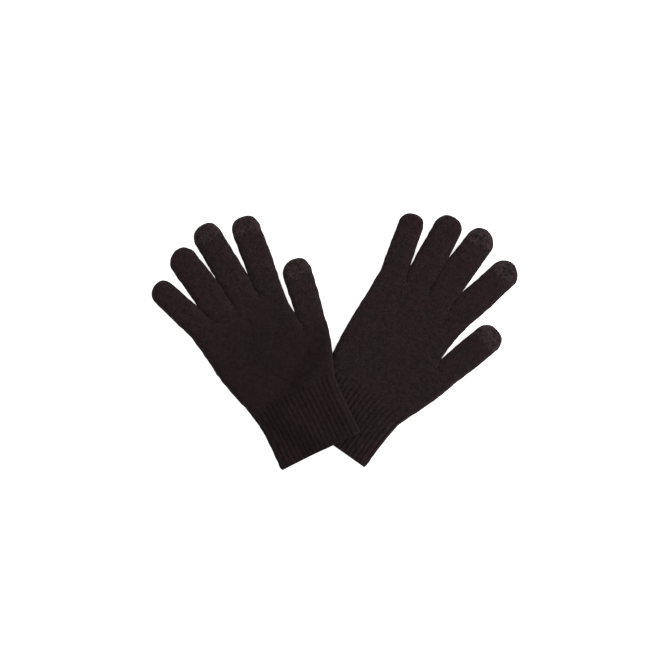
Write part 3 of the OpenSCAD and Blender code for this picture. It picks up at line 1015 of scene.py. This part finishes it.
# The dark, light and dull tone of each yarn.
# In the knitted yarns the colour falls towards the dark tone with the speckle and with the shade painted between
# stitches and in grooves and creases.
KNIT_TONES = ((0.0080, 0.0041, 0.0046), (0.0285, 0.0150, 0.0165), (0.0245, 0.0164, 0.0160))
TOUCH_TONES = ((0.0075, 0.0045, 0.0052), (0.057, 0.0350, 0.0375), (0.046, 0.0310, 0.0320))
THREAD_TONES = ((0.0090, 0.0060, 0.0060), (0.026, 0.018, 0.018), (0.024, 0.018, 0.018))
BAR_TONES = ((0.018, 0.012, 0.012), (0.046, 0.033, 0.034), (0.041, 0.032, 0.032))
SHEEN = 0.14
THREAD_SHEEN = 0.08
# Tones, sheen, fuzz, speckle, and for threads that they have no stitches.
KNIT_LOOK = (KNIT_TONES, SHEEN, 0.6, 0.11)
TOUCH_LOOK = (TOUCH_TONES, THREAD_SHEEN, 0.9, 0.1)
THREAD_LOOK = (THREAD_SHEEN, 0.6, 0.2, False)
materials = {
    "left_knit_yarn": yarn_material("left_plain_knit", *KNIT_LOOK, shares=(0.64, 1.15)),
    "right_knit_yarn": yarn_material("right_plain_knit", *KNIT_LOOK, shares=(1.06, 1.0)),
    # The left ribbed knit's grooves get less painted shade.
    "left_rib_yarn": yarn_material("left_ribbed_knit", *KNIT_LOOK, shares=(0.64, 1.15), rib=0.85),
    "right_rib_yarn": yarn_material("right_ribbed_knit", *KNIT_LOOK, shares=(1.2, 1.0)),
    "conductive_yarn": yarn_material("conductive_knit", *TOUCH_LOOK, base=KNIT_TONES),
    "overlock_thread": yarn_material("overlock", THREAD_TONES, *THREAD_LOOK),
    "stitching_thread": yarn_material("closing_stitch", BAR_TONES, *THREAD_LOOK),
    "elastic_thread": elastic_material(),
}


# ---- Pieces of one glove ----


def dress(side, name, node, shell, slot):
    """Makes a piece that is shown in place of a CAD node. Some slots have a material for each side."""
    material = materials.get(f"{side}_{slot}") or materials[slot]
    piece = make_piece(f"{side}_{name}", shell, material)
    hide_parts(f"{side}_{node}")
    return piece


def make_hand(glove):
    shell = Shell()
    lower = Tube(shell, glove.lower)
    upper = Tube(shell, glove.upper)
    lower.close_low()
    lower.close_high(THUMB_RING)
    upper.close_high()
    shell.fix_normals(lower.low[0], glove.wrist_normals)
    shell.fix_normals(lower.high[0][THUMB_RING], glove.root_normals["thumb"])
    for name, columns in zip(FINGERS, FINGER_RINGS):
        shell.fix_normals(upper.high[0][columns], glove.root_normals[name])
    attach(dress(glove.side, "hand_knit", "hand", shell, "knit_yarn"), glove.body)


def make_cuff(glove):
    shell = Shell()
    tube = Tube(shell, glove.cuff)
    tube.close_low()
    tube.close_high()
    shell.fix_normals(tube.high[0], glove.wrist_normals)
    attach(dress(glove.side, "cuff_knit", "cuff", shell, "rib_yarn"), glove.body)


def make_elastic(glove):
    """Elastic threads in the middle of the rib's wall, every few courses."""
    shell = Shell()
    rows = len(glove.cuff.outside)
    for k in range(1, ELASTIC_COUNT + 1):
        row = round(rows * k / (ELASTIC_COUNT + 1))
        path = mix(glove.cuff.outside[row], glove.cuff.inside[row], ELASTIC_PLACE)
        add_yarn(shell, path, ELASTIC_RADIUS, 6, closed=True)
    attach(dress(glove.side, "elastic_threads", "cuff_elastic", shell, "elastic_thread"), glove.body)


def around_ring(values, at):
    """A closed ring's values at places counted in vertices."""
    closed = np.vstack([values, values[:1]])
    return np.stack([np.interp(at, np.arange(len(closed)), closed[:, k]) for k in range(3)], -1)


def make_overlock(glove):
    """Overlocking round the mouth: a core, and loops over the edge."""
    shell = Shell()
    outside, inside = glove.cuff.outside[0], glove.cuff.inside[0]
    up = np.concatenate([glove.up, [0]])
    core = mix(outside, inside, 0.5) - OVERLOCK_DROP * up
    add_yarn(shell, core[::2], OVERLOCK_CORE, 8, closed=True)
    whole_way = 2 * pi * OVERLOCK_LOOPS
    turn = np.linspace(0, whole_way, OVERLOCK_LOOPS * OVERLOCK_LOOP_POINTS, endpoint=False)
    at = turn / whole_way * len(core)
    over = np.cos(turn)[:, None] * around_ring(units(outside - inside), at)
    past = np.sin(turn)[:, None] * up
    spiral = around_ring(core, at) + OVERLOCK_REACH * over - OVERLOCK_PAST * past + OVERLOCK_DROP * up
    spiral[:, 2] = np.maximum(spiral[:, 2], OVERLOCK_THREAD)
    add_yarn(shell, spiral, OVERLOCK_THREAD, 5, closed=True)
    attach(dress(glove.side, "overlocking", "cuff_overlock", shell, "overlock_thread"), glove.body)


def make_finger(glove, finger):
    cloth = glove.cloths[finger.name]
    side, name = glove.side, finger.name
    body = f"{side}_{name}"
    touch = name in TOUCH
    shell = Shell()
    tube = Tube(shell, cloth, 0, cloth.touch_row + 1 if touch else None)
    tube.close_low()
    shell.fix_normals(tube.low[0], glove.root_normals[finger.name])
    if touch:
        edge_normals = ring_normals(*cloth.outside[cloth.touch_row - 1 : cloth.touch_row + 2])
        tube.close_high()
        shell.fix_normals(tube.high[0], edge_normals)
    else:
        tube.close_tip()
    node = "thumb" if name == "thumb" else f"{name}_finger"
    sleeve = dress(side, f"{node}_knit", node, shell, "knit_yarn")
    ahead = -to_right(finger.along)
    ends = [glove.table(finger.middle + length * ahead) * MM for length in (0, BEND)]
    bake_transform(sleeve)
    if touch:
        shell = Shell()
        tube = Tube(shell, cloth, cloth.touch_row)
        tube.close_low()
        tube.close_tip()
        shell.fix_normals(tube.low[0], edge_normals)
        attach(dress(side, f"{name}_touch_knit", f"{name}_touch_tip", shell, "conductive_yarn"), body)


def make_closing_stitches(glove):
    """A short overcast bar of yarn at each crotch, which draws the two faces together."""
    shell = Shell()
    ways = [finger.contacts[-1].way for name, finger in glove.fingers.items() if -1 in finger.contacts]
    crotches = [glove.knuckles[k] for k in (1, 2, 3)] + [glove.thumb_crotch]
    for crotch, up in zip(crotches, ways):
        across = to_right(up)
        s = np.linspace(0, 1, BAR_TURNS * BAR_POINTS + 1)
        turn = 2 * pi * BAR_TURNS * s
        down = mix(-BAR_ABOVE, BAR_BELOW, s)
        dip = np.clip(1 - down / PINCH_LENGTH, 0, 1) ** 2
        surface = FOLD_HEIGHT + PALM["top"][1] * (1 - BAR_SINK * np.minimum(dip, 1))
        plan = crotch - down[:, None] * up + (BAR_HALF * np.sin(turn))[:, None] * across
        table = glove.table(plan)
        height = surface + BAR_THREAD * (BAR_LEVEL + BAR_RISE * np.cos(turn)) + rise(glove, table)
        add_yarn(shell, np.column_stack([table, height]), BAR_THREAD, 8, BAR_PLY, BAR_TWISTS)
        core = glove.table(crotch - down[::BAR_POINTS, None] * up)
        core = np.column_stack([core, surface[::BAR_POINTS] + rise(glove, core)])
        add_yarn(shell, core, BAR_CORE, 8)
    piece = dress(glove.side, "closing_stitches", "crotch_stitches", shell, "stitching_thread")
    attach(piece, glove.body)


def prepare(glove):
    """The glove's cloths, and the normals that its pieces share where they join."""
    glove.side_y = glove.thumb_crotch[1] - SIDE_DROP
    glove.palm_edge_span = glove.thumb_crotch[1] + ROOT_CLEAR, glove.knuckles[4, 1] - ROOT_CLEAR
    above = np.linspace(*glove.palm_edge_span, PALM_EDGE_POINTS)
    edge_xs = [glove.edge(y, 1) for y in above]
    gap_y = glove.thumb_crotch[1] + TOUCHING[glove.side][3]
    swell = THUMB_GAP_SWELL[glove.side] * np.exp(-(((above - gap_y) / THUMB_GAP_LENGTH) ** 2))
    glove.palm_edge = lambda y: np.interp(y, above, edge_xs + swell)
    wrist_course = -round((glove.knuckles[2, 1] - WRIST) / COURSE)
    glove.course = lambda points: wrist_course + (points[:, 1] - WRIST) / COURSE
    set_contacts(glove)
    glove.cuff = cuff_cloth(glove)
    glove.lower = lower_hand_cloth(glove)
    glove.upper = upper_hand_cloth(glove)
    glove.cloths = {name: finger_cloth(glove, finger) for name, finger in glove.fingers.items()}
    glove.wrist_normals = ring_normals(*glove.cuff.outside[-2:], glove.lower.outside[1])
    glove.root_normals = {}
    below_roots = [glove.upper.outside[-2][columns] for columns in FINGER_RINGS]
    below_roots.append(glove.lower.outside[-2][THUMB_RING])
    for (name, cloth), below in zip(glove.cloths.items(), below_roots):
        normals = ring_normals(below, cloth.outside[0], cloth.outside[1])
        for which in glove.fingers[name].contacts:
            normals[FINGER_COLS if which > 0 else 0] = 0
        glove.root_normals[name] = normals


gloves = {side: Glove(side) for side in ("left", "right")}
lift_height = (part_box("left_cuff")[1].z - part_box("right_cuff")[1].z) / MM
for glove in gloves.values():
    prepare(glove)
    make_hand(glove)
    make_cuff(glove)
    make_elastic(glove)
    make_overlock(glove)
    make_closing_stitches(glove)
    for finger in glove.fingers.values():
        make_finger(glove, finger)


# ---- Floor, light and camera ----


FLOOR_GLOW = 0.8  # a lit table top, which keeps the shadows on it faint
FLOOR_HALF = 6.0
FLOOR_DROP = 0.0002
WORLD_LIGHT = 0.52
CAMERA_HEIGHT = 1.7
CAMERA_ASIDE = (-0.0001, 0.0055)  # from the middle of the pair
FRAME_WIDTH = 1.83  # in widths of the pair


def make_floor():
    """A plain white table top."""
    mesh = bpy.data.meshes.new("floor")
    corners = [(x * FLOOR_HALF, y * FLOOR_HALF, 0) for x, y in ((-1, -1), (1, -1), (1, 1), (-1, 1))]
    mesh.from_pydata(corners, [], [(0, 1, 2, 3)])
    n = Nodes("floor")
    n.shade("Base Color", (0.9, 0.9, 0.9, 1))
    n.shade("Roughness", 0.9)
    n.shade("Specular IOR Level", 0.1)
    n.shade("Emission Color", (1, 1, 1, 1))
    n.shade("Emission Strength", FLOOR_GLOW)
    mesh.materials.append(n.material)
    floor = add_object("floor", mesh)
    floor.location.z = -FLOOR_DROP


def area_light(name, place, size, power):
    data = bpy.data.lights.new(name, "AREA")
    data.shape = "DISK"
    data.size = size
    data.energy = power
    light = add_object(name, data)
    light.location = place
    track = light.constraints.new("TRACK_TO")
    track.target = add_object(f"{name}_aim", None)
    track.track_axis, track.up_axis = "TRACK_NEGATIVE_Z", "UP_Y"


def light_scene():
    world = bpy.data.worlds.new("studio")
    bpy.context.scene.world = world
    world.use_nodes = True
    background = world.node_tree.nodes["Background"]
    background.inputs["Color"].default_value = (1, 1, 1, 1)
    background.inputs["Strength"].default_value = WORLD_LIGHT
    area_light("key", (1.5, 0.6, 1.1), 1.0, 37.0)
    area_light("fill", (-1.0, 0.9, 1.8), 1.6, 8.0)


def make_camera():
    """Straight above the pair, with a margin round it."""
    data = bpy.data.cameras.new("camera")
    data.sensor_width = 36.0
    data.lens = data.sensor_width * CAMERA_HEIGHT / (FRAME_WIDTH * (cad_high.x - cad_low.x))
    camera = add_object("camera", data)
    middle = (cad_low + cad_high) / 2
    camera.location = (middle.x + CAMERA_ASIDE[0], middle.y + CAMERA_ASIDE[1], CAMERA_HEIGHT)
    bpy.context.scene.camera = camera


make_floor()
light_scene()
make_camera()
bpy.context.scene.view_settings.view_transform = "Standard"
bpy.context.scene.view_settings.look = "None"
